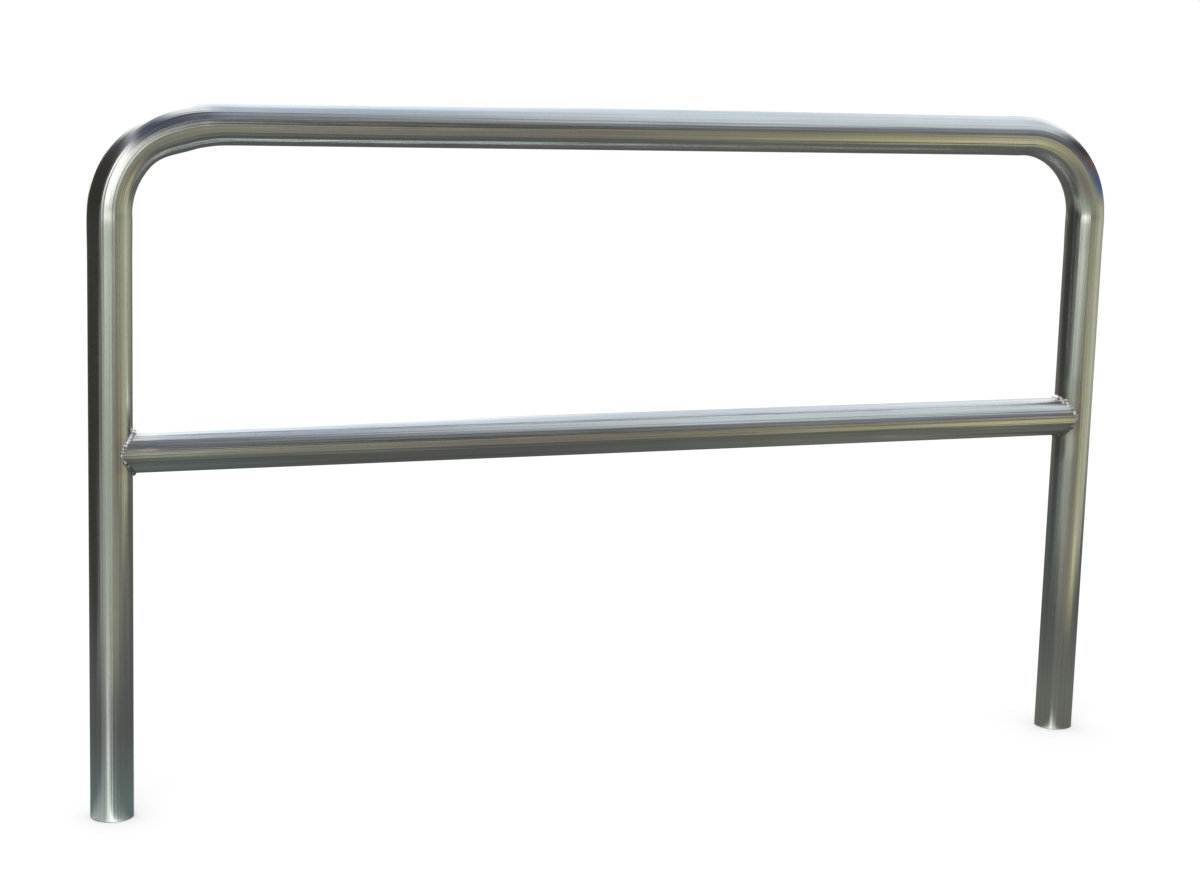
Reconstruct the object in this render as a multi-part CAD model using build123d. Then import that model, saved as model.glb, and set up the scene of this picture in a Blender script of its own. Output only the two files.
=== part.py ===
from build123d import *
from math import cos, pi, sin, sqrt
import os

# Stainless steel hoop barrier: one bent tube with two legs, and a straight mid rail welded between them.
# Millimetres. +Z is up and the ground is at Z = 0. The origin is the centre of the left leg's cut end.
# +X runs along the barrier from the left leg to the right leg, and the front faces -Y.

# Stock tube, the same for the hoop and the mid rail
tube_od = 60.3
tube_wall = 2.6

# Hoop
clear_width = 1500.0  # between the inner faces of the legs
overall_height = 1000.0  # ground to the crown of the top rail
bend_radius = 125.0  # to the tube's centre line
end_deburr = 0.6  # chamfer on the cut ends of the legs

# Mid rail
mid_rail_height = 520.0  # ground to the mid rail's centre line
fit_up_gap = 0.3  # between the saddle cut and the leg
ear_trim = 12.0  # the saddle's thin ears are ground off this far from the leg's axis

# Weld bead round each end of the mid rail
bead_radius_at_crotch = 5.0  # above and below the rail, where the tubes meet squarely
bead_radius_at_side = 2.9  # in front and behind, where the tubes lie nearly flush
bead_sink = 1.55  # the bead's centre runs this far under the rail's surface
bead_root = 1.5  # and this far from the trimmed ear, towards the leg
bead_stations = 13  # sections in each half of the bead

cut_overrun = 20.0  # how far a cutting shape passes the material that it cuts

tube_radius = tube_od / 2
bore_radius = tube_radius - tube_wall
leg_spacing = clear_width + tube_od
top_rail_height = overall_height - tube_radius
leg_length = top_rail_height - bend_radius
top_rail_length = leg_spacing - 2 * bend_radius


def tube_section():
    return Circle(tube_radius) - Circle(bore_radius)


def tube_run(start, direction, length):
    return extrude(Plane(start, z_dir=direction) * tube_section(), length)


def tube_bend(start, direction, centre):
    # A right-angle bend in the barrier's own plane, which begins along the given direction
    outward = (start - centre).normalized()
    turn_axis = Axis(centre, outward.cross(direction))
    return revolve(Plane(start, z_dir=direction) * tube_section(), turn_axis, 90)


def make_hoop_tube():
    up, along, down = Vector(0, 0, 1), Vector(1, 0, 0), Vector(0, 0, -1)
    left_foot = Vector(0, 0, 0)
    left_shoulder = left_foot + up * leg_length
    rail_start = Vector(bend_radius, 0, top_rail_height)
    rail_end = rail_start + along * top_rail_length
    right_shoulder = Vector(leg_spacing, 0, leg_length)

    hoop = tube_run(left_foot, up, leg_length)
    hoop += tube_bend(left_shoulder, up, left_shoulder + along * bend_radius)
    hoop += tube_run(rail_start, along, top_rail_length)
    hoop += tube_bend(rail_end, along, rail_end + down * bend_radius)
    hoop += tube_run(right_shoulder, down, leg_length)

    foot_edges = hoop.edges().filter_by(GeomType.CIRCLE).group_by(Axis.Z)[0]
    return chamfer(foot_edges, end_deburr)


def leg_bar(leg_x, radius):
    # A solid round bar on a leg's axis, as tall as the mid rail needs
    height = tube_od + 2 * cut_overrun
    return Pos(leg_x, 0, mid_rail_height) * Cylinder(radius, height)


def rail_bar(radius, start_x, end_x):
    # A solid round bar on the mid rail's axis
    start = Vector(start_x, 0, mid_rail_height)
    return extrude(Plane(start, z_dir=(1, 0, 0)) * Circle(radius), end_x - start_x)


def make_mid_rail():
    ends = ear_trim, leg_spacing - ear_trim
    rail = rail_bar(tube_radius, *ends) - rail_bar(bore_radius, *ends)
    saddle_radius = tube_radius + fit_up_gap
    for leg_x in (0, leg_spacing):
        rail -= leg_bar(leg_x, saddle_radius)
    return rail


def bead_section(turn):
    # One round section of the bead of the left joint. Turn is the angle round the rail, from its crown.
    round_rail = tube_radius - bead_sink
    side_x = ear_trim - bead_root
    x = sqrt(side_x**2 + (round_rail * cos(turn)) ** 2)
    outward = Vector(0, -sin(turn), cos(turn))
    centre = Vector(x, 0, mid_rail_height) + outward * round_rail
    slope = -(round_rail**2) * sin(turn) * cos(turn) / x
    tangent = Vector(slope, -round_rail * cos(turn), -round_rail * sin(turn))
    swell = bead_radius_at_crotch - bead_radius_at_side
    radius = bead_radius_at_side + swell * cos(turn) ** 2
    return Plane(centre, x_dir=outward, z_dir=tangent) * Circle(radius)


def make_left_weld_bead():
    bead = Part()
    step = pi / (bead_stations - 1)
    for first_turn in (0, pi):
        turns = [first_turn + step * i for i in range(bead_stations)]
        bead += loft([bead_section(turn) for turn in turns])
    bead -= leg_bar(0, tube_radius)
    return bead - rail_bar(tube_radius, ear_trim, leg_spacing / 2)


def make_right_weld_bead(left_bead):
    middle = Plane((leg_spacing / 2, 0, 0), z_dir=(1, 0, 0))
    return mirror(left_bead, about=middle)


left_weld_bead = make_left_weld_bead()
pieces = {
    "hoop_tube": make_hoop_tube(),
    "mid_rail": make_mid_rail(),
    "left_weld_bead": left_weld_bead,
    "right_weld_bead": make_right_weld_bead(left_weld_bead),
}
os.makedirs("parts", exist_ok=True)
for node, piece in pieces.items():
    export_step(piece, f"parts/{node}.step")
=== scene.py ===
import bmesh
import bpy
import math
import random
from mathutils import Matrix, Vector


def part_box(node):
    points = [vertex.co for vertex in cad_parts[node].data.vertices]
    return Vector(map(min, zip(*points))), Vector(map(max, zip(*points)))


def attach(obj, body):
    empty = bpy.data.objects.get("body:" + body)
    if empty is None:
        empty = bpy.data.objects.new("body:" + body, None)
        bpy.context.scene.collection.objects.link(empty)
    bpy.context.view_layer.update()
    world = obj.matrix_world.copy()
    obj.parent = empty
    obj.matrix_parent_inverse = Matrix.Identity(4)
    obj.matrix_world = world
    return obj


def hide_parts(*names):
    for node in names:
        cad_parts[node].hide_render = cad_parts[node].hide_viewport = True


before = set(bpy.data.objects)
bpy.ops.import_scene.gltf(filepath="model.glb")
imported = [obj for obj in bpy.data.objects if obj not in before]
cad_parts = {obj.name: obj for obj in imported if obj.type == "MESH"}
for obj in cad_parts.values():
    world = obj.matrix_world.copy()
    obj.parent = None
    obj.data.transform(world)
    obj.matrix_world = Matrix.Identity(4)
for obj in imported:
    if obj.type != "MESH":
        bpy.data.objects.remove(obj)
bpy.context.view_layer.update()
scene = bpy.context.scene
scene.view_settings.view_transform = "Standard"

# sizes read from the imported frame, in metres
hoopLow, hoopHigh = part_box("hoop_tube")
railLow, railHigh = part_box("mid_rail")
tubeRadius = -hoopLow.x  # the left leg stands on the origin
legSpacing = hoopHigh.x - tubeRadius
topRailHeight = hoopHigh.z - tubeRadius
midRailHeight = (railLow.z + railHigh.z) / 2
earTrim = railLow.x  # where the saddle's ears are ground off, from the leg's axis
middle = Vector((legSpacing / 2, 0, 0))

tube = {
    "wall": 0.0026,
    "segments": 96,
    "uvName": "tubeUv",  # u runs along the tube and v round it, both in metres
}


# node helpers

def newMaterial(name):
    material = bpy.data.materials.new(name)
    material.use_nodes = True
    tree = material.node_tree
    tree.nodes.clear()
    output = tree.nodes.new("ShaderNodeOutputMaterial")
    return material, tree, output


def addNode(tree, kind, inputs=None, **settings):
    node = tree.nodes.new(kind)
    for key, value in settings.items():
        setattr(node, key, value)
    for key, value in (inputs or {}).items():
        socket = node.inputs[key]
        if isinstance(value, bpy.types.NodeSocket):
            tree.links.new(value, socket)
        else:
            socket.default_value = value
    return node


def mathNode(tree, operation, first, second=0.0, clamp=False):
    node = addNode(tree, "ShaderNodeMath", {0: first, 1: second}, operation=operation, use_clamp=clamp)
    return node.outputs[0]


def timesNode(tree, first, *others):
    for other in others:
        first = mathNode(tree, "MULTIPLY", first, other)
    return first


def plusNode(tree, first, second, factor):  # first + second * factor
    values = {0: second, 1: factor, 2: first}
    return addNode(tree, "ShaderNodeMath", values, operation="MULTIPLY_ADD").outputs[0]


def degreesNode(tree, first, second):
    return mathNode(tree, "DEGREES", mathNode(tree, "ARCTAN2", first, second))


def vectorNode(tree, operation, first, second=(0, 0, 0)):
    return addNode(tree, "ShaderNodeVectorMath", {0: first, 1: second}, operation=operation)


def joined(tree, first, second, third=0.0):
    return addNode(tree, "ShaderNodeCombineXYZ", {0: first, 1: second, 2: third}).outputs[0]


def parted(tree, vector):
    return addNode(tree, "ShaderNodeSeparateXYZ", {0: vector}).outputs


def longNode(tree, first, second):
    return vectorNode(tree, "LENGTH", joined(tree, first, second)).outputs["Value"]


def noiseNode(tree, vector, scale, detail, roughness):
    values = {"Vector": vector, "Scale": scale, "Detail": detail, "Roughness": roughness}
    return addNode(tree, "ShaderNodeTexNoise", values).outputs["Fac"]


def rolledNoise(tree, along, turn, grain):  # noise that closes on itself round the tube
    alongScale, roundScale, detail, roughness = grain
    size = roundScale * tubeRadius
    place = joined(tree, timesNode(tree, along, alongScale),
                   timesNode(tree, mathNode(tree, "COSINE", turn), size),
                   timesNode(tree, mathNode(tree, "SINE", turn), size))
    return noiseNode(tree, place, 1.0, detail, roughness)


def ranged(tree, value, low, high, newLow, newHigh):
    values = {"Value": value, "From Min": low, "From Max": high, "To Min": newLow, "To Max": newHigh}
    return addNode(tree, "ShaderNodeMapRange", values).outputs[0]


def rising(tree, value, low, high):  # nothing at low, all at high
    return ranged(tree, value, low, high, 0.0, 1.0)


def falling(tree, value, low, high):
    return ranged(tree, value, low, high, 1.0, 0.0)


def windowNode(tree, value, rise, top, fall, foot):  # up from rise to top, down from fall to foot
    return mathNode(tree, "MINIMUM", rising(tree, value, rise, top), falling(tree, value, fall, foot))


def mixed(tree, factor, first, second, blend="MIX"):
    values = {0: factor, 6: first, 7: second}  # 6 and 7 are the colour sockets
    return addNode(tree, "ShaderNodeMix", values, data_type="RGBA", blend_type=blend).outputs[2]


def rampNode(tree, value, stops):  # colours by a value, from the first stop to the last
    low, high = stops[0][0], stops[-1][0]
    ramp = addNode(tree, "ShaderNodeValToRGB", {"Fac": rising(tree, value, low, high)})
    elements = ramp.color_ramp.elements
    while len(elements) < len(stops):
        elements.new(0.5)
    for element, (place, colour) in zip(elements, stops):
        element.position = (place - low) / (high - low)
        element.color = (*colour, 1)
    return ramp.outputs[0]


def curveNode(tree, value, stops):  # plain numbers by a value
    return rampNode(tree, value, [(place, (level,) * 3) for place, level in stops])


# satin stainless tube

satin = {
    "steel": (0.71, 0.71, 0.70, 1),
    "warmSteel": (0.64, 0.63, 0.60, 1),
    "cloud": (7.0, 4.0, 0.55),  # warmer patches: scale, detail and roughness of the noise
    "cloudEdge": (0.35, 0.75),
    "cloudDepth": 0.8,
    # scale along the tube, scale round it, detail and roughness of each noise
    "grind": (1400, 16, 4.0, 0.6),
    "draw": (1.1, 300, 3.0, 0.5),  # lines left lengthwise by the forming rolls
    "wobble": (3.5, 42, 2.0, 0.4),
    "smear": (5.0, 45.0, 5.0, 0.6),
    "relief": {"wobble": 0.0009, "draw": 0.0006, "grind": 0.000007},  # heights in metres
    "grindEdge": (0.3, 0.7),
    "grindDepth": 0.16,
    "grindDark": (0.44, 0.44, 0.44, 1),
    "drawEdge": (0.35, 0.68),
    "drawDepth": 0.4,  # how much darker the drawn lines get
    "drawDark": (0.42, 0.41, 0.40, 1),
    "worn": {"smear": 0.7, "grind": 0.3},  # what makes it rougher, and how much
    "wornEdge": (0.3, 0.7),
    "roughness": (0.13, 0.21),
    "anisotropy": 0.6,  # the belt grinds round the tube, so gloss spreads along it
    "pull": (0.045, 0.0007),  # reach and depth of the slight dishing round a weld
    "tint": (0.003, 0.009, 0.026),  # how far the heat colours reach from a weld
    "tintUneven": 0.02,  # and how far the smears shift that
    "straw": (0.62, 0.55, 0.42, 1),
    "strawDepth": 0.25,
    "violet": (0.40, 0.36, 0.46, 1),
    "violetDepth": 0.35,
}


def heatReach(tree, place):  # metres from the nearest weld, on the tubes' own surfaces
    x, y, z = parted(tree, place)
    inward = mathNode(tree, "MINIMUM", x, mathNode(tree, "SUBTRACT", legSpacing, x))
    fromLeg = longNode(tree, inward, y)
    fromRail = longNode(tree, mathNode(tree, "SUBTRACT", z, midRailHeight), y)
    away = mathNode(tree, "SUBTRACT", mathNode(tree, "MAXIMUM", fromLeg, fromRail), tubeRadius)
    outside = mathNode(tree, "LESS_THAN", inward, 0.0)  # a metre more on a leg's far side
    return mathNode(tree, "ADD", away, outside)


def satinStainless(name):
    material, tree, output = newMaterial(name)
    uv = addNode(tree, "ShaderNodeUVMap", uv_map=tube["uvName"]).outputs[0]
    place = addNode(tree, "ShaderNodeTexCoord").outputs["Object"]
    along, metresRound = parted(tree, uv)[:2]
    turn = mathNode(tree, "DIVIDE", metresRound, tubeRadius)
    kinds = ("grind", "draw", "wobble", "smear")
    noise = {kind: rolledNoise(tree, along, turn, satin[kind]) for kind in kinds}

    cloud = noiseNode(tree, place, *satin["cloud"])
    warm = ranged(tree, cloud, *satin["cloudEdge"], 0.0, satin["cloudDepth"])
    scratched = ranged(tree, noise["grind"], *satin["grindEdge"], 0.0, satin["grindDepth"])
    drawn = ranged(tree, noise["draw"], *satin["drawEdge"], satin["drawDepth"], 0.0)
    colour = mixed(tree, warm, satin["steel"], satin["warmSteel"])
    colour = mixed(tree, scratched, colour, satin["grindDark"])
    colour = mixed(tree, drawn, colour, satin["drawDark"])

    uneven = timesNode(tree, mathNode(tree, "SUBTRACT", noise["smear"], 0.5), satin["tintUneven"])
    heat = mathNode(tree, "ADD", heatReach(tree, place), uneven)
    violetEnd, strawStart, strawEnd = satin["tint"]
    straw = ranged(tree, heat, strawStart, strawEnd, satin["strawDepth"], 0.0)
    violet = ranged(tree, heat, violetEnd, strawStart, satin["violetDepth"], 0.0)
    colour = mixed(tree, straw, colour, satin["straw"])
    colour = mixed(tree, violet, colour, satin["violet"])

    smeared, rubbed = [timesNode(tree, noise[kind], share) for kind, share in satin["worn"].items()]
    worn = mathNode(tree, "ADD", smeared, rubbed)
    rough = ranged(tree, worn, *satin["wornEdge"], *satin["roughness"])

    pullReach, pullDepth = satin["pull"]
    dish = addNode(tree, "ShaderNodeMapRange", {"Value": heat, "From Min": 0.0, "From Max": pullReach},
                   interpolation_type="SMOOTHSTEP").outputs[0]
    normal = addNode(tree, "ShaderNodeBump", {
        "Height": dish, "Strength": 1.0, "Distance": pullDepth}).outputs[0]
    for kind, height in satin["relief"].items():
        normal = addNode(tree, "ShaderNodeBump", {
            "Height": noise[kind], "Strength": 1.0, "Distance": height, "Normal": normal}).outputs[0]
    tangent = addNode(tree, "ShaderNodeTangent", direction_type="UV_MAP", uv_map=tube["uvName"])
    shader = addNode(tree, "ShaderNodeBsdfPrincipled", {
        "Base Color": colour, "Roughness": rough, "Metallic": 1.0, "Anisotropic": satin["anisotropy"],
        "Normal": normal, "Tangent": tangent.outputs[0]})
    tree.links.new(shader.outputs[0], output.inputs[0])
    return material


# weld metal

weldFinish = {
    "bright": (0.86, 0.86, 0.85, 1),
    "scale": (0.46, 0.43, 0.40, 1),
    "patch": (90.0, 3.0, 0.5),  # where scale sits: scale, detail and roughness of the noise
    "patchEdge": (0.45, 0.75),
    "patchDepth": 0.7,
    "shade": (0.26, 0.25, 0.23, 1),  # painted shade, darker on the underside
    "shadeEdge": (-0.014, 0.006),
    "shadeDepth": 0.85,
    "crust": (420.0, 4.0, 0.6),
    "crustEdge": (0.3, 0.7),
    "crustHeight": 0.0004,
    "crustStrength": 0.6,
    "roughness": (0.08, 0.22),
}


def weldMetal(name):
    material, tree, output = newMaterial(name)
    place = addNode(tree, "ShaderNodeTexCoord").outputs["Object"]
    crust = noiseNode(tree, place, *weldFinish["crust"])
    patch = noiseNode(tree, place, *weldFinish["patch"])
    scaled = ranged(tree, patch, *weldFinish["patchEdge"], 0.0, weldFinish["patchDepth"])
    colour = mixed(tree, scaled, weldFinish["bright"], weldFinish["scale"])
    # painted shade: the bead's colour darkens below the mid rail's axis
    lift = mathNode(tree, "SUBTRACT", parted(tree, place)[2], midRailHeight)
    paintedShadeUnder = ranged(tree, lift, *weldFinish["shadeEdge"], weldFinish["shadeDepth"], 0.0)
    colour = mixed(tree, paintedShadeUnder, colour, weldFinish["shade"])
    rough = ranged(tree, crust, *weldFinish["crustEdge"], *weldFinish["roughness"])
    bump = addNode(tree, "ShaderNodeBump", {
        "Height": crust, "Strength": weldFinish["crustStrength"], "Distance": weldFinish["crustHeight"]})
    shader = addNode(tree, "ShaderNodeBsdfPrincipled", {
        "Base Color": colour, "Roughness": rough, "Metallic": 1.0, "Normal": bump.outputs[0]})
    tree.links.new(shader.outputs[0], output.inputs[0])
    return material


# bmesh helpers

def newRing(bm, radius, place, segments):
    made = bmesh.ops.create_circle(bm, segments=segments, radius=radius, cap_ends=False, matrix=place)
    fresh = set(made["verts"])
    return [edge for edge in bm.edges[-segments:] if set(edge.verts) <= fresh]


def ringVerts(edges):
    return list({vert for edge in edges for vert in edge.verts})


def pushRing(bm, edges, step):  # carries a ring of edges straight on
    grown = bmesh.ops.extrude_edge_only(bm, edges=edges)["geom"]
    verts = [part for part in grown if isinstance(part, bmesh.types.BMVert)]
    bmesh.ops.translate(bm, verts=verts, vec=step)
    fresh = set(verts)
    return [part for part in grown if isinstance(part, bmesh.types.BMEdge) and set(part.verts) <= fresh]


def sizeRing(bm, edges, centre, factors):  # a new ring about the same axis, wider or narrower
    fresh = pushRing(bm, edges, (0, 0, 0))
    bmesh.ops.scale(bm, verts=ringVerts(fresh), vec=factors, space=Matrix.Translation(-centre))
    return fresh


def turnRing(bm, edges, centre, angle, steps):  # sweeps a ring round a bend about Y
    spun = bmesh.ops.spin(bm, geom=ringVerts(edges) + edges, cent=centre, axis=(0, 1, 0), dvec=(0, 0, 0),
                          angle=angle, steps=steps, use_merge=False)
    return [part for part in spun["geom_last"] if isinstance(part, bmesh.types.BMEdge)]


def layUv(bm, placeOf):  # unrolls a tube: metres along it and metres round it
    layer = bm.loops.layers.uv.new(tube["uvName"])
    for face in bm.faces:
        spots = [placeOf(loop.vert.co) for loop in face.loops]
        turns = [spot[1] for spot in spots]
        split = max(turns) - min(turns) > math.pi  # the face crosses the seam
        for loop, (along, turn) in zip(face.loops, spots):
            if split and turn < 0:
                turn += math.tau
            loop[layer].uv = (along, turn * tubeRadius)


def addObject(bm, name, material):
    mesh = bpy.data.meshes.new(name)
    bm.to_mesh(mesh)
    bm.free()
    mesh.materials.append(material)
    piece = bpy.data.objects.new(name, mesh)
    scene.collection.objects.link(piece)
    return piece


sharpAngle = math.radians(32)  # steeper edges stay sharp


def finishPiece(bm, name, node, material):
    bmesh.ops.recalc_face_normals(bm, faces=bm.faces)
    piece = addObject(bm, name, material)
    piece.data.shade_smooth()
    piece.data.set_sharp_from_angle(angle=sharpAngle)
    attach(piece, "root")
    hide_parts(node)
    print("made", name, len(piece.data.polygons), "faces")


# hoop: one tube from foot to foot, with its bore

hoop = {
    "bendRadius": 0.125,
    "bendSteps": 45,
    "deburr": 0.0006,
    "fineRun": 0.09,  # closely ringed length beside each bend
    "fineSteps": 16,
    # the bender's marks: height, place of the crest before the bend's end, flanks on either side
    "swell": (0.00042, -0.009, 0.016, 0.05),
    "sag": (0.007, 0.030, 0.075, 0.060),  # the left bend's inner side runs out low
    "merge": 0.00001,
}


def pushFine(bm, ring, way):
    for index in range(hoop["fineSteps"]):
        ring = pushRing(bm, ring, Vector(way) * hoop["fineRun"] / hoop["fineSteps"])
    return ring


def hoopRun(bm, ring, goingRight):  # up one leg, over the top and down the other
    bend = hoop["bendRadius"]
    side = 1 if goingRight else -1
    farX = legSpacing if goingRight else 0
    nearX = legSpacing - farX
    shoulder = topRailHeight - bend
    plainLeg = shoulder - hoop["deburr"] - hoop["fineRun"]
    plainTop = legSpacing - 2 * bend - 2 * hoop["fineRun"]
    quarter = side * math.pi / 2
    ring = pushRing(bm, ring, (0, 0, plainLeg))
    ring = pushFine(bm, ring, (0, 0, 1))
    ring = turnRing(bm, ring, (nearX + side * bend, 0, shoulder), quarter, hoop["bendSteps"])
    ring = pushFine(bm, ring, (side, 0, 0))
    ring = pushRing(bm, ring, (side * plainTop, 0, 0))
    ring = pushFine(bm, ring, (side, 0, 0))
    ring = turnRing(bm, ring, (farX - side * bend, 0, shoulder), quarter, hoop["bendSteps"])
    ring = pushFine(bm, ring, (0, 0, -1))
    return pushRing(bm, ring, (0, 0, -plainLeg))


def cutEnd(bm, ring, foot, sizes):  # closes a leg's end, from one side of the wall to the other
    for before, after in zip(sizes, sizes[1:]):
        ring = sizeRing(bm, ring, foot, (after / before, after / before, 1))
        for vert in ringVerts(ring):
            vert.co.z = hoop["deburr"] if after == sizes[-1] else 0
    return ring


def hoopSpot(co):  # metres from the nearer foot along the centre line, metres outwards from it, and that way
    bend = hoop["bendRadius"]
    shoulder = topRailHeight - bend
    flip = co.x > legSpacing / 2
    x = legSpacing - co.x if flip else co.x
    if co.z <= shoulder:
        along, out, way = co.z, -x, Vector((-1, 0, 0))
    elif x <= bend:
        reach = Vector((x - bend, 0, co.z - shoulder))
        along = shoulder + bend * math.atan2(reach.z, -reach.x)
        out, way = reach.length - bend, reach.normalized()
    else:
        along = shoulder + bend * math.pi / 2 + x - bend
        out, way = co.z - topRailHeight, Vector((0, 0, 1))
    if flip:
        way.x = -way.x
    return flip, along, out, way


def hoopPlace(co):  # how far along the centre line a point is, and its turn round it
    flip, along, out, way = hoopSpot(co)
    total = 2 * topRailHeight + legSpacing - (4 - math.pi) * hoop["bendRadius"]
    return (total - along if flip else along), math.atan2(co.y, out)


def hump(off, before, after):  # a soft bump of height one
    flank = after if off > 0 else before
    return (1 + math.cos(math.pi * off / flank)) / 2 if abs(off) < flank else 0


def markBends(bm):  # a slight swelling at both ends of each bend, and a low run-out on the left
    swellHeight, swellPlace, *swellFlanks = hoop["swell"]
    sagDepth, sagPlace, *sagFlanks = hoop["sag"]
    start = topRailHeight - hoop["bendRadius"]
    end = start + hoop["bendRadius"] * math.pi / 2
    for vert in bm.verts:
        flip, along, out, way = hoopSpot(vert.co)
        past = along - end + swellPlace
        short = start + swellPlace - along
        lift = swellHeight * (hump(past, *swellFlanks) + hump(short, *swellFlanks))
        shift = (way * out + Vector((0, vert.co.y, 0))).normalized() * lift
        if not flip:
            inside = (1 - out / tubeRadius) / 2
            shift.z -= sagDepth * inside * hump(along - end + sagPlace, *sagFlanks)
        vert.co += shift


def makeHoop(material):
    bm = bmesh.new()
    bore = tubeRadius - tube["wall"]
    deburr = hoop["deburr"]
    sizes = (tubeRadius, tubeRadius - deburr, bore + deburr, bore)  # radii across a cut end
    ring = newRing(bm, tubeRadius, Matrix.Translation((0, 0, deburr)), tube["segments"])
    ring = hoopRun(bm, ring, True)
    ring = cutEnd(bm, ring, Vector((legSpacing, 0, 0)), sizes)
    ring = hoopRun(bm, ring, False)
    cutEnd(bm, ring, Vector(), sizes[::-1])
    bmesh.ops.remove_doubles(bm, verts=bm.verts, dist=hoop["merge"])  # the run ends on its own first ring
    layUv(bm, hoopPlace)
    markBends(bm)
    finishPiece(bm, "hoopTube", "hoop_tube", material)


# mid rail: a straight tube with saddle ends

midRail = {"fitUpGap": 0.0003}


def saddleEnd(edges, sign):  # moves an end ring onto the saddle round a leg
    reach = tubeRadius + midRail["fitUpGap"]
    for vert in ringVerts(edges):
        away = max(math.sqrt(max(reach**2 - vert.co.y**2, 0)), earTrim)
        vert.co.x = away if sign < 0 else legSpacing - away


def railPlace(co):
    return co.x, math.atan2(co.y, co.z - midRailHeight)


def makeMidRail(material):
    bm = bmesh.new()
    centre = Vector((legSpacing / 2, 0, midRailHeight))
    narrow = (tubeRadius - tube["wall"]) / tubeRadius
    upright = Matrix.Translation(centre) @ Matrix.Rotation(math.pi / 2, 4, "Y")
    start = newRing(bm, tubeRadius, upright, tube["segments"])
    ends = []
    for sign in (-1, 1):
        outer = pushRing(bm, start, (0, 0, 0))
        saddleEnd(outer, sign)
        inner = sizeRing(bm, outer, centre, (1, narrow, narrow))
        saddleEnd(inner, sign)
        ends += inner
    bmesh.ops.bridge_loops(bm, edges=ends)
    layUv(bm, railPlace)
    finishPiece(bm, "midRail", "mid_rail", material)


# weld beads: a rippled rope round each saddle

bead = {
    "sink": (0.00155, 0.0023),  # at the crotches and at the sides
    "root": 0.0015,
    "left": (0.0043, 0.0043, 0.0028),  # radius at the upper crotch, the lower crotch and the sides
    "right": (0.0060, 0.0050, 0.0028),
    "stations": 420,
    "segments": 20,
    "ripples": 46,
    "ripple": 0.0008,
    "rippleBow": 0.45,  # how far a ripple's edges trail its middle
    "rippleLean": 1.5,
    "lumps": ((3, 0.04), (8, 0.06), (17, 0.10), (25, 0.11), (37, 0.07)),  # count round the joint, size
    "seat": 0.0002,  # how deep its hidden side lies in the tubes
    "squeeze": 0.15,  # and how much of the depth past that is kept
    "seed": 11,
}


def beadStation(turn, sizes):  # centre, frame and size of the rope at one turn round the rail
    toSide = math.sin(turn) ** 4
    upper, lower, side = sizes
    crotch = lower + (upper - lower) * (1 + math.cos(turn)) / 2
    atCrotch, atSide = bead["sink"]
    roundRail = tubeRadius - atCrotch - (atSide - atCrotch) * toSide
    x = math.hypot(earTrim - bead["root"], roundRail * math.cos(turn))
    outward = Vector((0, -math.sin(turn), math.cos(turn)))
    centre = Vector((x, 0, midRailHeight)) + outward * roundRail
    slope = -roundRail**2 * math.sin(turn) * math.cos(turn) / x
    tangent = Vector((slope, -roundRail * math.cos(turn), -roundRail * math.sin(turn))).normalized()
    across = tangent.cross(outward).normalized()
    up = across.cross(tangent)
    turned = Matrix((up, across, tangent)).transposed().to_4x4()
    return Matrix.Translation(centre) @ turned, crotch + (side - crotch) * toSide


def drawnUp(away):  # a place inside a tube, brought up near its surface
    limit = tubeRadius - bead["seat"]
    depth = max(limit - away.length, 0)
    return away + away.normalized() * depth * (1 - bead["squeeze"])


def seatBead(vert):  # lays the hidden side of the rope against the leg and the rail
    vert.co.x, vert.co.y = drawnUp(Vector((vert.co.x, vert.co.y)))
    if vert.co.x > earTrim:
        vert.co.y, lift = drawnUp(Vector((vert.co.y, vert.co.z - midRailHeight)))
        vert.co.z = midRailHeight + lift


def makeBead(name, node, material, atRight):
    rng = random.Random(bead["seed"] + atRight)
    bm = bmesh.new()
    loops = []
    lumps = [(count, size, rng.uniform(0, math.tau)) for count, size in bead["lumps"]]
    for index in range(bead["stations"]):
        turn = math.tau * index / bead["stations"]
        place, radius = beadStation(turn, bead["right" if atRight else "left"])
        uneven = sum(size * math.sin(count * turn + phase) for count, size, phase in lumps)
        loop = newRing(bm, radius * (1 + uneven), place, bead["segments"])
        for vert in ringVerts(loop):
            away = vert.co - place.translation
            side = away.dot(place.col[1].xyz) / radius
            step = bead["ripples"] * (turn / math.tau) + bead["rippleBow"] * side**2
            vert.co += away.normalized() * bead["ripple"] * ((step % 1) ** bead["rippleLean"] - 0.5)
        loops.append(loop)
    for index, loop in enumerate(loops):
        bmesh.ops.bridge_loops(bm, edges=loops[index - 1] + loop)
    for vert in bm.verts:
        seatBead(vert)
    if atRight:
        bmesh.ops.scale(bm, verts=bm.verts, vec=(-1, 1, 1), space=Matrix.Translation(-middle))
    finishPiece(bm, name, node, material)


satinSteel = satinStainless("satinStainless")
weldSteel = weldMetal("weldMetal")
makeHoop(satinSteel)
makeMidRail(satinSteel)
makeBead("leftWeldBead", "left_weld_bead", weldSteel, False)
makeBead("rightWeldBead", "right_weld_bead", weldSteel, True)


# floor

floorLook = {"size": 60.0, "albedo": (0.88, 0.88, 0.88, 1), "lift": 0.21}


def makeFloor():
    material, tree, output = newMaterial("paleFloor")
    path = addNode(tree, "ShaderNodeLightPath")
    matte = addNode(tree, "ShaderNodeBsdfDiffuse", {"Color": floorLook["albedo"]})
    lift = timesNode(tree, path.outputs["Is Camera Ray"], floorLook["lift"])
    glow = addNode(tree, "ShaderNodeEmission", {"Strength": lift})
    both = addNode(tree, "ShaderNodeAddShader", {0: matte.outputs[0], 1: glow.outputs[0]})
    tree.links.new(both.outputs[0], output.inputs[0])
    bm = bmesh.new()
    bmesh.ops.create_grid(bm, x_segments=1, y_segments=1, size=floorLook["size"] / 2,
                          matrix=Matrix.Translation(middle))
    addObject(bm, "floor", material)


# surroundings that only show in the metal

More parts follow.
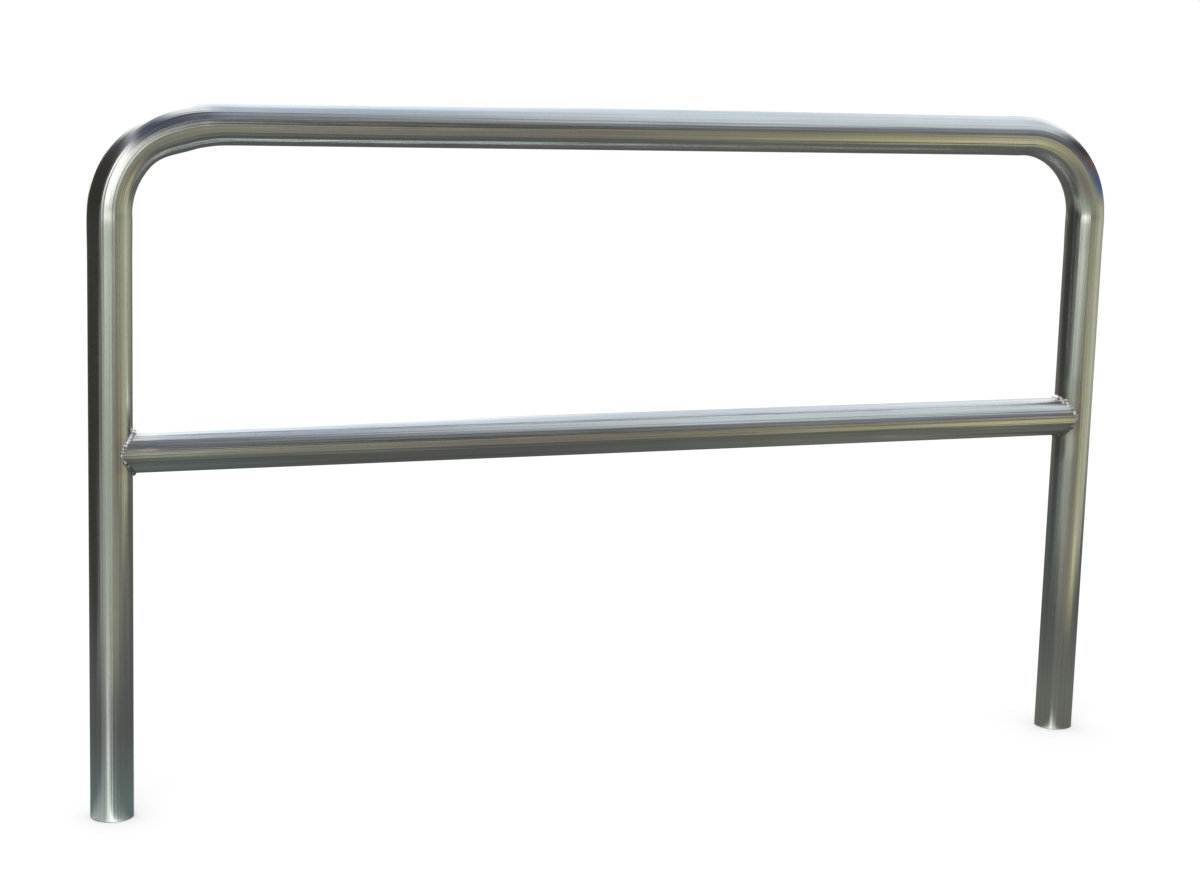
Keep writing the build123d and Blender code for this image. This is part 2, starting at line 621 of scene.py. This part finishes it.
def onlyInGloss(piece):
    piece.visible_camera = False
    piece.visible_diffuse = False
    piece.visible_transmission = False
    piece.visible_volume_scatter = False
    piece.visible_shadow = False


def glowOnly(tree, output, colour):
    glow = addNode(tree, "ShaderNodeEmission", {"Color": colour, "Strength": 1.0})
    tree.links.new(glow.outputs[0], output.inputs[0])


# how the barrier sees its surroundings
outlook = {
    "eye": Vector((legSpacing / 2, 0, 0.8)),
    "lean": 0.194,  # sideways run of what the rails mirror, per metre off, at the left leg
    "spread": 0.3135,  # and how much more per metre to the right
    "frontEdge": 0.1,
}

# pale sky over a dull skyline, colours by degrees up over the top
sky = {
    "radius": 9.5,
    "segments": (64, 32),
    "cutHeight": -0.1,
    "left": ((0, (0.17, 0.165, 0.155)), (9, (0.16, 0.155, 0.15)), (19, (0.23, 0.23, 0.23)),
             (33, (0.42, 0.44, 0.45)), (41, (0.41, 0.43, 0.45)), (52, (0.33, 0.34, 0.40)),
             (66, (0.50, 0.56, 0.63)), (86, (0.50, 0.62, 0.84)), (100, (0.85, 1.0, 1.2)),
             (114, (1.1, 1.25, 1.4)), (138, (1.8, 1.85, 1.9)), (180, (2.0, 2.0, 2.0))),
    "right": ((0, (0.17, 0.165, 0.16)), (17, (0.25, 0.255, 0.27)), (36, (0.30, 0.32, 0.40)),
              (44, (0.60, 0.70, 0.74)), (52, (0.80, 0.89, 0.91)), (70, (0.89, 1.0, 1.05)),
              (108, (0.84, 0.95, 1.08)), (140, (0.82, 0.92, 1.03)), (180, (0.85, 0.92, 1.0))),
    "turn": (0.28, 0.78),  # where along the rails the left sky becomes the right one
    "streaks": (0.11, 1.3, 0.17),  # scale over the top, scale along the rails, strength
    "low": (-1.0, 2.0),  # below this the far ground takes over
}

# a dark line low in front
band = {"along": (0.18, 0.34, 0.66, 0.95), "over": (-6, 0, 15, 27), "colour": (0.05, 0.047, 0.045, 1)}

# bright patches: bearing and height of the middle, soft edge, all in degrees
glows = (
    {"towards": (-125, 62), "edge": (24, 36), "colour": (1.7, 1.75, 1.8, 1)},
    {"towards": (-20, 80), "edge": (7, 14), "colour": (1.5, 1.55, 1.6, 1)},
    {"towards": (122, 28), "edge": (8, 24), "colour": (1.3, 1.3, 1.3, 1)},
)

# dull masses in front of the sky: middle bearing, half width and height in degrees,
# and soft edge and colours by share of the height
rightSkyline = {
    "bearing": 85, "half": 52, "height": 29, "edge": (0.95, 1.32),
    "colours": ((0.0, (0.34, 0.34, 0.20)), (0.08, (0.34, 0.34, 0.20)), (0.14, (0.085, 0.155, 0.37)),
                (0.33, (0.06, 0.115, 0.30)), (0.40, (0.22, 0.15, 0.13)), (0.58, (0.19, 0.13, 0.115)),
                (0.68, (0.03, 0.03, 0.03)), (0.95, (0.05, 0.05, 0.055)), (1.0, (0.10, 0.10, 0.11))),
}
leftTrees = {
    "bearing": -98, "half": 68, "height": 58, "edge": (0.80, 1.10),
    "colours": ((0.0, (0.05, 0.05, 0.04)), (0.5, (0.055, 0.053, 0.046)), (1.0, (0.13, 0.13, 0.14))),
}

# a dark arch of cloud on the left, the shade under it and the white gap below that
arch = {
    "start": (-60, 57),
    "slope": -0.14,
    "edge": (2.7, 10.8),
    "window": (-96, -72, 8, 34),
    "colour": (0.05, 0.06, 0.085, 1),
}
shade = {
    "start": (-30, 60),
    "slope": -0.35,
    "top": (-10, 2),
    "foot": (2, 10),
    "window": (-84, -62, 3, 13),
    "colour": (0.088, 0.10, 0.14, 1),
}
gap = {
    "start": (-42, 33),
    "slope": -0.68,
    "edge": (-7, 7),
    "left": (-60, -40),
    "bottom": (-5, 2.0),
    "colour": (2.3, 2.35, 2.25, 1),
}

# open ground: colours by bearing, and in front by the place on the rails that mirrors it
ground = {
    "radius": 9.45,
    "segments": 96,
    "height": 0.0004,
    "far": ((-180, (0.15, 0.15, 0.13)), (-100, (0.30, 0.31, 0.29)), (-70, (0.40, 0.42, 0.39)),
            (-46, (0.37, 0.42, 0.37)), (-32, (0.40, 0.46, 0.39)), (0, (0.43, 0.49, 0.38)),
            (14, (0.50, 0.54, 0.38)), (40, (0.42, 0.42, 0.28)), (56, (0.46, 0.47, 0.34)),
            (71, (0.72, 0.74, 0.58)), (98, (0.58, 0.59, 0.43)), (128, (0.28, 0.28, 0.23)),
            (180, (0.15, 0.15, 0.13))),
    "woodsBack": 0.54,  # the woods are seen from this far behind the left leg
    "woodsWindow": (-180, -155, -62, -53),
    "woods": (0.058, 0.058, 0.052, 1),
    "rails": ((-0.6, (0.36, 0.38, 0.33)), (-0.1, (0.33, 0.34, 0.26)), (0.33, (0.265, 0.26, 0.215)),
              (0.62, (0.235, 0.205, 0.19)), (0.93, (0.30, 0.29, 0.215)), (1.24, (0.50, 0.48, 0.29)),
              (1.4, (0.70, 0.69, 0.43)), (1.6, (0.62, 0.60, 0.36))),
    "railsFar": ((-0.6, (0.36, 0.38, 0.33)), (-0.1, (0.30, 0.31, 0.25)), (0.33, (0.21, 0.20, 0.175)),
                 (0.62, (0.15, 0.135, 0.13)), (0.93, (0.20, 0.19, 0.155)), (1.24, (0.50, 0.48, 0.30)),
                 (1.4, (0.74, 0.73, 0.47)), (1.6, (0.64, 0.62, 0.38))),
    "railWindow": (-0.6, -0.1, 1.46, 1.68),
    "railGain": ((0, 1.0), (0.7, 1.2), (1.2, 1.3), (1.9, 1.0)),  # by metres off
    "railTurn": (2.2, 4.2),  # where the farther colours take over
    "railFade": (4.0, 7.0, 0.4),  # farther out the bearing counts more
    "near": (0.120, 0.130, 0.124, 1),  # the dull strip along the barrier
    "nearEdge": (0.55, 1.3),
    "nearRight": (0.75, 1.35, 1.75),  # where along the rails it gets narrower, and how much
    "nearAround": ((-180, 0.4), (-85, 0.9), (-58, 1.05), (-10, 1.05), (10, 1.0),
                   (45, 0.8), (62, 0.45), (75, 0.3), (180, 0.4)),
    "leftPool": (0.10, 0.45, (0.165, 0.22, 0.22, 1)),  # paler ground round the feet
    "rightPool": (0.30, 0.80, (0.19, 0.20, 0.175, 1)),
    "patchy": (0.16, 0.9, 0.3),  # scale by bearing, scale outwards, strength
}


def bearings(tree):
    place = addNode(tree, "ShaderNodeTexCoord").outputs["Object"]
    away = vectorNode(tree, "SUBTRACT", place, outlook["eye"]).outputs[0]
    x, y, z = parted(tree, away)
    forward = mathNode(tree, "MULTIPLY", y, -1.0)
    fromLeft = mathNode(tree, "ADD", x, legSpacing / 2)
    fromRight = mathNode(tree, "SUBTRACT", x, legSpacing / 2)
    past = mathNode(tree, "SUBTRACT", mathNode(tree, "ABSOLUTE", x), legSpacing / 2)
    depth = longNode(tree, y, z)
    run = plusNode(tree, fromLeft, depth, -outlook["lean"])
    widening = plusNode(tree, 1.0, depth, outlook["spread"])
    return {
        "way": vectorNode(tree, "NORMALIZE", away).outputs[0],
        "around": degreesNode(tree, x, forward),  # degrees to the right of the front
        "height": degreesNode(tree, z, longNode(tree, x, y)),  # degrees above the eye
        "over": degreesNode(tree, z, forward),  # degrees up over the top
        "rail": mathNode(tree, "DIVIDE", run, widening),  # the rails mirror it at this x
        "front": rising(tree, forward, -outlook["frontEdge"], outlook["frontEdge"]),
        "reach": longNode(tree, mathNode(tree, "MAXIMUM", past, 0.0), y),  # metres off the barrier
        "leftFoot": longNode(tree, fromLeft, y),  # metres off each foot
        "rightFoot": longNode(tree, fromRight, y),
        "woods": degreesNode(tree, fromLeft, mathNode(tree, "ADD", forward, ground["woodsBack"])),
    }


mottling = {"noise": (1.0, 4.0, 0.6), "edge": (0.3, 0.7)}


def mottle(tree, first, second, pattern):  # lighter and darker patches about one
    firstScale, secondScale, strength = pattern
    spot = joined(tree, timesNode(tree, first, firstScale), timesNode(tree, second, secondScale))
    noise = noiseNode(tree, spot, *mottling["noise"])
    return ranged(tree, noise, *mottling["edge"], 1 - strength, 1 + strength)


def slantNode(tree, view, line):  # how high a slanting line stands at each bearing
    around, height = line["start"]
    return plusNode(tree, height - around * line["slope"], view["around"], line["slope"])


def wayTo(bearing, height):
    turn, lift = math.radians(bearing), math.radians(height)
    return Vector((math.sin(turn) * math.cos(lift), -math.cos(turn) * math.cos(lift), math.sin(lift)))


def openSky(tree, view):
    left = rampNode(tree, view["over"], sky["left"])
    right = rampNode(tree, view["over"], sky["right"])
    colour = mixed(tree, rising(tree, view["rail"], *sky["turn"]), left, right)
    colour = mixed(tree, 1.0, colour, mottle(tree, view["over"], view["rail"], sky["streaks"]), "MULTIPLY")
    along = windowNode(tree, view["rail"], *band["along"])
    over = windowNode(tree, view["over"], *band["over"])
    colour = mixed(tree, timesNode(tree, along, over, view["front"]), colour, band["colour"])
    for glow in glows:
        towards = vectorNode(tree, "DOT_PRODUCT", view["way"], wayTo(*glow["towards"])).outputs["Value"]
        off = mathNode(tree, "DEGREES", mathNode(tree, "ARCCOSINE", towards))
        colour = mixed(tree, falling(tree, off, *glow["edge"]), colour, glow["colour"])
    return colour


massShape = {
    "ends": (0.75, 1.0),  # where it thins out, by the square of its half width
    "lowest": 0.5,  # degrees
}


def massNode(tree, view, colour, mass):  # lays a dull mass over the sky
    off = mathNode(tree, "DIVIDE", mathNode(tree, "SUBTRACT", view["around"], mass["bearing"]), mass["half"])
    square = timesNode(tree, off, off)
    top = timesNode(tree, mathNode(tree, "SUBTRACT", 1.0, square), mass["height"])
    level = mathNode(tree, "DIVIDE", view["height"], mathNode(tree, "MAXIMUM", top, massShape["lowest"]))
    mask = timesNode(tree, falling(tree, level, *mass["edge"]), falling(tree, square, *massShape["ends"]))
    return mixed(tree, mask, colour, rampNode(tree, level, mass["colours"]))


def leftClouds(tree, view, colour):  # gives back the gap's own mask too
    overArch = mathNode(tree, "SUBTRACT", view["height"], slantNode(tree, view, arch))
    mask = timesNode(tree, falling(tree, mathNode(tree, "ABSOLUTE", overArch), *arch["edge"]),
                     windowNode(tree, view["around"], *arch["window"]))
    colour = mixed(tree, mask, colour, arch["colour"])

    crown = slantNode(tree, view, gap)
    underRim = mathNode(tree, "SUBTRACT", slantNode(tree, view, shade), view["height"])
    overCrown = mathNode(tree, "SUBTRACT", view["height"], crown)
    mask = timesNode(tree, rising(tree, underRim, *shade["top"]), rising(tree, overCrown, *shade["foot"]),
                     windowNode(tree, view["around"], *shade["window"]), view["front"])
    colour = mixed(tree, mask, colour, shade["colour"])

    underCrown = mathNode(tree, "SUBTRACT", crown, view["height"])
    mask = timesNode(tree, rising(tree, underCrown, *gap["edge"]), rising(tree, view["around"], *gap["left"]),
                     rising(tree, view["height"], *gap["bottom"]), view["front"])
    return mixed(tree, mask, colour, gap["colour"]), mask


def farGround(tree, view):
    gain = curveNode(tree, view["reach"], ground["railGain"])
    rails = mixed(tree, 1.0, rampNode(tree, view["rail"], ground["rails"]), gain, "MULTIPLY")
    railsFar = rampNode(tree, view["rail"], ground["railsFar"])
    rails = mixed(tree, rising(tree, view["reach"], *ground["railTurn"]), rails, railsFar)
    far = rampNode(tree, view["around"], ground["far"])
    far = mixed(tree, windowNode(tree, view["woods"], *ground["woodsWindow"]), far, ground["woods"])
    fadeStart, fadeEnd, kept = ground["railFade"]
    inFront = timesNode(tree, windowNode(tree, view["rail"], *ground["railWindow"]), view["front"],
                        ranged(tree, view["reach"], fadeStart, fadeEnd, 1.0, kept))
    colour = mixed(tree, inFront, far, rails)
    patches = mottle(tree, view["around"], view["reach"], ground["patchy"])
    return mixed(tree, 1.0, colour, patches, "MULTIPLY")


def makeSky():
    material, tree, output = newMaterial("paleSky")
    view = bearings(tree)
    colour = openSky(tree, view)
    for mass in (rightSkyline, leftTrees):
        colour = massNode(tree, view, colour, mass)
    colour, bright = leftClouds(tree, view, colour)
    low = mathNode(tree, "SUBTRACT", falling(tree, view["height"], *sky["low"]), bright, True)
    glowOnly(tree, output, mixed(tree, low, colour, farGround(tree, view)))
    across, upwards = sky["segments"]
    bm = bmesh.new()
    bmesh.ops.create_uvsphere(bm, u_segments=across, v_segments=upwards, radius=sky["radius"],
                              matrix=Matrix.Translation(middle))
    bmesh.ops.bisect_plane(bm, geom=bm.verts[:] + bm.edges[:] + bm.faces[:],
                           plane_co=(0, 0, sky["cutHeight"]), plane_no=(0, 0, -1), clear_outer=True)
    onlyInGloss(addObject(bm, "paleSky", material))


def makeGround():
    material, tree, output = newMaterial("openGround")
    view = bearings(tree)
    start, end, gain = ground["nearRight"]
    narrow = timesNode(tree, view["front"], ranged(tree, view["rail"], start, end, 0.0, gain - 1))
    wide = curveNode(tree, view["around"], ground["nearAround"])
    reach = timesNode(tree, view["reach"], mathNode(tree, "ADD", narrow, 1.0), wide)
    near = ground["near"]
    for side in ("left", "right"):
        poolEdge, poolEnd, poolColour = ground[side + "Pool"]
        near = mixed(tree, falling(tree, view[side + "Foot"], poolEdge, poolEnd), near, poolColour)
    glowOnly(tree, output, mixed(tree, rising(tree, reach, *ground["nearEdge"]), near, farGround(tree, view)))
    bm = bmesh.new()
    bmesh.ops.create_circle(bm, cap_ends=True, segments=ground["segments"], radius=ground["radius"],
                            matrix=Matrix.Translation(middle + Vector((0, 0, ground["height"]))))
    onlyInGloss(addObject(bm, "openGround", material))


# cards seen only in the metal: light strips that lie flat, and one pale glowing upright shape; they paint
# highlights into its reflections

# the bearing is seen from above, the widths are at both ends, fadeIn is how fast the strip starts
glints = {
    "leftGlint": {"start": (0.012, 0.0, 0.0008), "bearing": -25, "length": 2.1, "widths": (0.045, 0.34),
                  "strength": 1.65, "sharpness": 2.5, "fadeIn": 90},
    "leftGlow": {"start": (0.0, 0.0, 0.0012), "bearing": -31, "length": 2.0, "widths": (0.20, 2.5),
                 "strength": 0.46, "sharpness": 1.6, "fadeIn": 90},
    "rightGlint": {"start": (legSpacing, 0.0, 0.0008), "bearing": -40, "length": 0.16,
                   "widths": (0.06, 0.07), "strength": 1.7, "sharpness": 2.5, "fadeIn": 90},
    # a glowing strip just over the mid rail's top, seen only in the metal: a painted highlight that the top
    # rail's underside mirrors
    "paintedRailHighlight": {"start": (0.14, 0.0, midRailHeight + tubeRadius + 0.0005), "bearing": 90, "length": 1.1,
                 "widths": (0.075, 0.05), "strength": 1.6, "sharpness": 0.8, "fadeIn": 5},
}
glintColour = (0.93, 1.0, 0.94, 1)

# a glowing upright card beside the camera, seen only in the metal: a painted reflection of a bright light
# there
glowPost = {
    "foot": (-1.12, -3.1),  # a few steps off
    "width": 0.55,
    "height": 1.0,
    "edge": (0.0, 0.4),
    "top": (0.6, 1.0),
    "colour": (0.72, 0.82, 0.70, 1),
}

card = {"uvName": "stripUv", "segments": (2, 12)}


def newCard():  # a flat card of one metre each way
    across, along = card["segments"]
    bm = bmesh.new()
    bm.loops.layers.uv.new(card["uvName"])
    bmesh.ops.create_grid(bm, x_segments=across, y_segments=along, size=0.5, calc_uvs=True)
    return bm


def cardSpot(tree):  # how near the card's middle, and how far along from its end
    uv = addNode(tree, "ShaderNodeUVMap", uv_map=card["uvName"]).outputs[0]
    across, along = parted(tree, uv)[:2]
    side = mathNode(tree, "ABSOLUTE", plusNode(tree, -1.0, across, 2.0))
    return mathNode(tree, "SUBTRACT", 1.0, side, True), along


def softStrip(name, glint):  # brightest along its middle and at its start, dark from below
    material, tree, output = newMaterial(name)
    inside, ahead = cardSpot(tree)
    across = mathNode(tree, "POWER", inside, glint["sharpness"])
    behind = timesNode(tree, mathNode(tree, "SUBTRACT", 1.0, ahead), glint["fadeIn"])
    above = mathNode(tree, "SUBTRACT", 1.0, addNode(tree, "ShaderNodeNewGeometry").outputs["Backfacing"])
    fade = timesNode(tree, mathNode(tree, "MINIMUM", ahead, behind), above)
    bright = timesNode(tree, across, fade, glint["strength"])
    see = addNode(tree, "ShaderNodeBsdfTransparent")
    glow = addNode(tree, "ShaderNodeEmission", {"Color": glintColour, "Strength": bright})
    both = addNode(tree, "ShaderNodeAddShader", {0: see.outputs[0], 1: glow.outputs[0]})
    tree.links.new(both.outputs[0], output.inputs[0])
    return material


def softGlowPost(name):  # solid down its middle, soft at its edges and its top
    material, tree, output = newMaterial(name)
    inside, ahead = cardSpot(tree)
    cover = timesNode(tree, rising(tree, inside, *glowPost["edge"]), falling(tree, ahead, *glowPost["top"]))
    see = addNode(tree, "ShaderNodeBsdfTransparent")
    glow = addNode(tree, "ShaderNodeEmission", {"Color": glowPost["colour"], "Strength": 1.0})
    both = addNode(tree, "ShaderNodeMixShader", {0: cover, 1: see.outputs[0], 2: glow.outputs[0]})
    tree.links.new(both.outputs[0], output.inputs[0])
    return material


def makeGlints():
    for name, glint in glints.items():
        near, far = glint["widths"]
        bm = newCard()
        for vert in bm.verts:
            share = 0.5 - vert.co.y
            vert.co.x *= near + (far - near) * share
            vert.co.y = -share * glint["length"]
        turned = Matrix.Rotation(math.radians(glint["bearing"]), 4, "Z")
        bmesh.ops.transform(bm, matrix=Matrix.Translation(glint["start"]) @ turned, verts=bm.verts)
        onlyInGloss(addObject(bm, name, softStrip(name, glint)))


def makeGlowPost():
    place = Vector((*glowPost["foot"], glowPost["height"] / 2))
    turn = math.atan2(place.x - middle.x, -place.y)  # square to the barrier's middle
    upright = Matrix.Rotation(turn, 4, "Z") @ Matrix.Rotation(math.pi / 2, 4, "X")
    bm = newCard()
    bmesh.ops.scale(bm, verts=bm.verts, vec=(glowPost["width"], glowPost["height"], 1))
    bmesh.ops.transform(bm, matrix=Matrix.Translation(place) @ upright, verts=bm.verts)
    onlyInGloss(addObject(bm, "glowingPostCard", softGlowPost("glowingPostCard")))


# light

studio = {
    "background": (1, 1, 1, 1),
    "fill": 0.92,
    "keyPlace": (-1.4, -2.6, 4.2),
    "keyAim": 0.4,  # height above the floor
    "keySize": 2.4,
    "keyPower": 26.0,
}


def makeLight():
    world = bpy.data.worlds.new("studio")
    scene.world = world
    world.use_nodes = True
    tree = world.node_tree
    tree.nodes.clear()
    path = addNode(tree, "ShaderNodeLightPath").outputs
    seen = mathNode(tree, "MAXIMUM", path["Is Camera Ray"], path["Is Glossy Ray"])
    seen = mathNode(tree, "MAXIMUM", seen, path["Is Transmission Ray"])
    strength = ranged(tree, seen, 0.0, 1.0, studio["fill"], 1.0)
    backdrop = addNode(tree, "ShaderNodeBackground", {"Color": studio["background"], "Strength": strength})
    output = tree.nodes.new("ShaderNodeOutputWorld")
    tree.links.new(backdrop.outputs[0], output.inputs[0])
    lamp = bpy.data.lights.new("softKey", "AREA")
    lamp.shape = "DISK"
    lamp.size = studio["keySize"]
    lamp.energy = studio["keyPower"]
    key = bpy.data.objects.new("softKey", lamp)
    key.location = studio["keyPlace"]
    aim = middle + Vector((0, 0, studio["keyAim"])) - key.location
    key.rotation_euler = aim.to_track_quat("-Z", "Y").to_euler()
    key.visible_glossy = False
    scene.collection.objects.link(key)


makeFloor()
makeSky()
makeGround()
makeGlints()
makeGlowPost()
makeLight()
print("stage set")


# camera at the photograph's viewing angle

shot = {
    "place": (-0.6185, -3.1851, 1.0847),
    "aim": (0.7282, 0.0, 0.5079),
    "roll": 1.731,  # degrees
    "lens": 70.51,
    "sensor": 36.0,
}


def makeCamera():
    data = bpy.data.cameras.new("camera")
    data.lens = shot["lens"]
    data.sensor_width = shot["sensor"]
    data.sensor_fit = "HORIZONTAL"
    camera = bpy.data.objects.new("camera", data)
    place = Vector(shot["place"])
    look = (Vector(shot["aim"]) - place).to_track_quat("-Z", "Y").to_matrix().to_4x4()
    roll = Matrix.Rotation(math.radians(shot["roll"]), 4, "Z")
    camera.matrix_world = Matrix.Translation(place) @ look @ roll
    scene.collection.objects.link(camera)
    scene.camera = camera


makeCamera()
